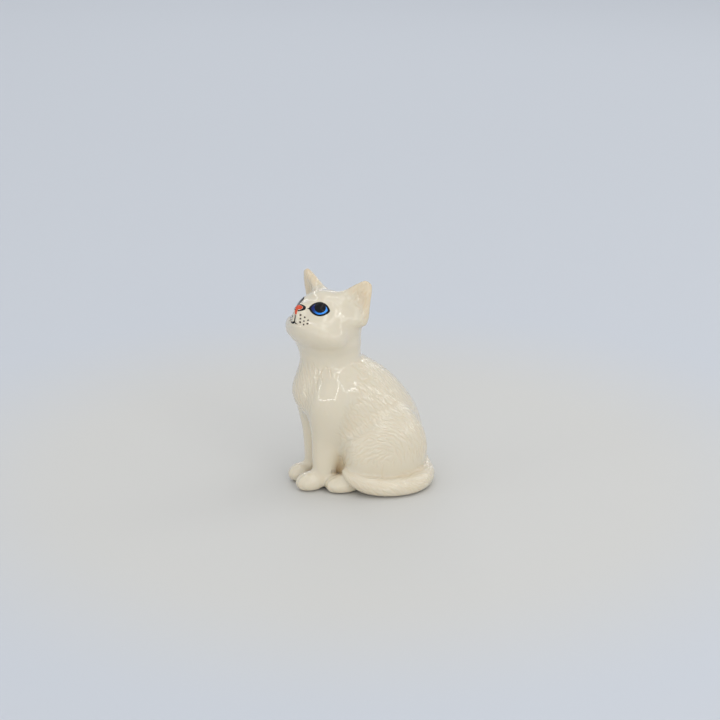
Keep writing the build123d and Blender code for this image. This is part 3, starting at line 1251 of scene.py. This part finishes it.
class KITTEN_OT_nose(bpy.types.Operator):
    """Paints the coral nose and its black outline"""

    bl_idname = "kitten.nose"
    bl_label = "Nose"
    bl_options = {"REGISTER"}

    def execute(self, context):
        paint = settings("enamel")
        head = kitten().head
        brush = Brush(head.nose, head.up, head.out, half=7 * MM)
        u, v = brush.flat(cad_points("nose_outline"))
        half, tall = 0.43 * (u.max() - u.min()), 0.55 * (v.max() - v.min())
        r = 0.42 * paint.line

        def curve(start, turn, end, widths):
            stops = ((x * half, y * tall) for x, y in (start, turn, end))
            return arc_pull(*stops, [width * r for width in widths])

        wings = pull(
            (-0.52 * half, 0.30 * tall, 0.38 * tall),
            (0, 0.26 * tall, 0.44 * tall),
            (0.52 * half, 0.30 * tall, 0.38 * tall),
        )
        red = both(wings, pull((0, 0.1 * tall, 0.36 * tall), (0, -0.90 * tall, 0.26 * tall)))
        rim = both(
            curve((-0.80, 0.58), (0, 0.98), (0.80, 0.62), (0.7, 0.9, 1.2)),
            curve((0.80, 0.62), (1.14, 0.20), (0.66, -0.24), (1.3, 1.4, 0.9)),
            curve((-0.80, 0.58), (-1.12, 0.15), (-0.66, -0.24), (0.9, 1.3, 0.9)),
            curve((0.34, -0.30), (0.48, -0.40), (0.62, -0.26), (0.8, 1.0, 0.7)),
            curve((-0.34, -0.30), (-0.48, -0.40), (-0.62, -0.26), (0.8, 1.0, 0.7)),
        )
        red = within(red, outside(rim))
        enamel_piece("nose_enamel_coral", "nose_enamel", [brush.lay(red, paint.lift)], coral_enamel())
        enamel_piece("nose_outline_enamel", "nose_outline", [brush.lay(rim, paint.lift)], black_enamel())
        return {"FINISHED"}


class KITTEN_OT_mouth(bpy.types.Operator):
    """Paints the line under the nose and the two lips"""

    bl_idname = "kitten.mouth"
    bl_label = "Mouth"
    bl_options = {"REGISTER"}

    def execute(self, context):
        paint = settings("enamel")
        head = kitten().head
        brush = Brush(head.mouth, head.up, head.out, half=8 * MM)
        u, v = brush.flat(cad_points("mouth_line"))
        right, left, low, high = u.min(), u.max(), v.min(), v.max()
        r = 0.5 * paint.line
        split = low + 0.33 * (high - low)
        sag = split - 1.1 * MM
        middle_line = pull((0, high, 0.75 * r), (0, split, r))
        right_lip = arc_pull(
            (0, split), (0.3 * right, sag - 0.5 * MM), (right, sag + 0.3 * MM), (1.1 * r, 1.3 * r, 0.6 * r)
        )
        left_lip = arc_pull(
            (0, split), (0.3 * left, sag), (0.68 * left, sag + 0.1 * MM), (r, 0.8 * r, 0.3 * r)
        )
        line = both(middle_line, right_lip, left_lip)
        enamel_piece("mouth_line_enamel", "mouth_line", [brush.lay(line, paint.lift)], black_enamel())
        return {"FINISHED"}


class KITTEN_OT_whisker_dots(bpy.types.Operator):
    """Paints the whisker dots, one on each dot of the frame"""

    bl_idname = "kitten.whisker_dots"
    bl_label = "Whisker dots"
    bl_options = {"REGISTER"}

    def execute(self, context):
        paint = settings("enamel")
        random = np.random.default_rng(settings("fur").seed)
        layers = []
        for place in clusters(cad_points("whisker_dots"), 1.3 * MM):
            brush = Brush(place, kitten().head.up, half=1.4 * MM)
            radius = random.uniform(0.58, 0.78) * MM
            drag = random.uniform(-0.22, 0.22, 2) * MM
            dot = pull((0, 0, radius), (drag[0], drag[1] + 0.01 * MM, 0.8 * radius))
            layers.append(brush.lay(dot, 0.7 * paint.lift))
        enamel_piece("whisker_dots_enamel", "whisker_dots", layers, whisker_enamel())
        return {"FINISHED"}


def clusters(points, gap):
    """The middles of groups of points that lie further apart than gap."""
    left = points.astype(float)
    middles = []
    while len(left):
        near = np.linalg.norm(left - left[0], axis=1) < gap
        group = left[near]
        middles.append((group.min(axis=0) + group.max(axis=0)) / 2)
        left = left[~near]
    return middles


class KITTEN_OT_stage(bpy.types.Operator):
    """Sets the plain floor, the soft light and the camera"""

    bl_idname = "kitten.stage"
    bl_label = "Stage"
    bl_options = {"REGISTER"}

    def execute(self, context):
        self.lay_floor()
        self.hang_lights()
        self.place_camera(context)
        return {"FINISHED"}

    def lay_floor(self):
        stage = settings("stage")
        half = 4.0
        corners = [(-half, -half, 0), (half, -half, 0), (half, half, 0), (-half, half, 0)]
        floor = bpy.data.objects.new("floor", mesh_of("floor", corners, [(0, 1, 2, 3)]))
        bpy.context.scene.collection.objects.link(floor)
        recipe = Recipe("pale_floor")
        away = recipe.add("ShaderNodeVectorMath", {"operation": "LENGTH"}, {0: recipe.place()}, output=1)
        colour = recipe.colours(recipe.ramp(away, 0.17, 0.34), tuple(stage.floor), tuple(stage.far))
        recipe.finish(Base_Color=colour, Roughness=0.55, Specular_IOR_Level=0.3)
        floor.data.materials.append(recipe.material)
        floor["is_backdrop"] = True

    def hang_lights(self):
        stage = settings("stage")
        world = bpy.data.worlds.new("daylight")
        world.use_nodes = True
        sky = world.node_tree.nodes["Background"]
        sky.inputs["Color"].default_value = (0.93, 0.96, 1.0, 1)
        sky.inputs["Strength"].default_value = stage.daylight
        bpy.context.scene.world = world
        bpy.context.scene.view_settings.view_transform = "Standard"
        low_soft = self.hang_lamp(8, 18, 2.2, (0, 0), (2.6, 1.3), stage.fill)
        low_soft.visible_glossy = False
        for turn, rise, side, width in STRIP_FRAMES:
            for x, y in ((1, 0), (-1, 0), (0, 1), (0, -1)):
                size = (side, width) if y else (width, side)
                edge = (0.5 * side * x, 0.5 * side * y)
                self.hang_lamp(turn, rise, 1.15, edge, size, stage.strip)

    def hang_lamp(self, turn, rise, distance, place, size, brightness):
        """A rectangle of light in a plane facing the figurine, from so many degrees round and up."""
        turn, rise = settings("stage").azimuth + math.radians(turn), math.radians(rise)
        back = Vector((math.sin(turn) * math.cos(rise), -math.cos(turn) * math.cos(rise), math.sin(rise)))
        across = Vector((math.cos(turn), math.sin(turn), 0))
        lamp = bpy.data.lights.new("lamp", "AREA")
        lamp.shape = "RECTANGLE"
        lamp.size, lamp.size_y = size
        lamp.energy = brightness * math.pi * size[0] * size[1]
        lamp.color = (1.0, 0.985, 0.96)
        thing = bpy.data.objects.new("lamp", lamp)
        bpy.context.scene.collection.objects.link(thing)
        middle_height = Vector((0, 0, 0.5 * HEIGHT))
        thing.location = middle_height + back * distance + across * place[0] + back.cross(across) * place[1]
        thing.rotation_euler = back.to_track_quat("Z", "Y").to_euler()
        return thing

    def place_camera(self, context):
        stage = settings("stage")
        lens = bpy.data.cameras.new("camera")
        lens.lens = stage.lens
        camera = bpy.data.objects.new("camera", lens)
        context.scene.collection.objects.link(camera)
        a, e = stage.azimuth, stage.elevation
        back = Vector((math.sin(a) * math.cos(e), -math.cos(a) * math.cos(e), math.sin(e)))
        camera.location = back * stage.distance
        camera.rotation_euler = (math.pi / 2 - e + stage.rise, 0, a - stage.pan)
        context.scene.camera = camera


class KITTEN_PT_panel(bpy.types.Panel):
    """Lists the figurine's pieces and its settings"""

    bl_idname = "KITTEN_PT_panel"
    bl_label = "Kitten figurine"
    bl_space_type = "VIEW_3D"
    bl_region_type = "UI"
    bl_category = "Figurine"

    def draw(self, context):
        for group in GROUPS:
            box = self.layout.box()
            owner = getattr(context.scene, "kitten_" + group)
            for name in owner.__annotations__:
                box.prop(owner, name)
        for operator in OPERATORS:
            self.layout.operator(operator.bl_idname)


GROUPS = {
    "clay": ClaySettings,
    "face": FaceSettings,
    "fur": FurSettings,
    "glaze": GlazeSettings,
    "enamel": EnamelSettings,
    "stage": StageSettings,
}
OPERATORS = (
    KITTEN_OT_castings,
    KITTEN_OT_ears,
    KITTEN_OT_forelegs,
    KITTEN_OT_haunches,
    KITTEN_OT_hind_paws,
    KITTEN_OT_tail,
    KITTEN_OT_eyes,
    KITTEN_OT_nose,
    KITTEN_OT_mouth,
    KITTEN_OT_whisker_dots,
    KITTEN_OT_stage,
)


def register():
    for cls in (*GROUPS.values(), *OPERATORS, KITTEN_PT_panel):
        bpy.utils.register_class(cls)
    for group, cls in GROUPS.items():
        setattr(bpy.types.Scene, "kitten_" + group, PointerProperty(type=cls))


def unregister():
    for group in GROUPS:
        delattr(bpy.types.Scene, "kitten_" + group)
    for cls in (KITTEN_PT_panel, *reversed(OPERATORS), *reversed(GROUPS.values())):
        bpy.utils.unregister_class(cls)


def main():
    register()
    for operator in OPERATORS:
        getattr(bpy.ops.kitten, operator.bl_idname.split(".")[1])()


if __name__ == "__main__":
    main()
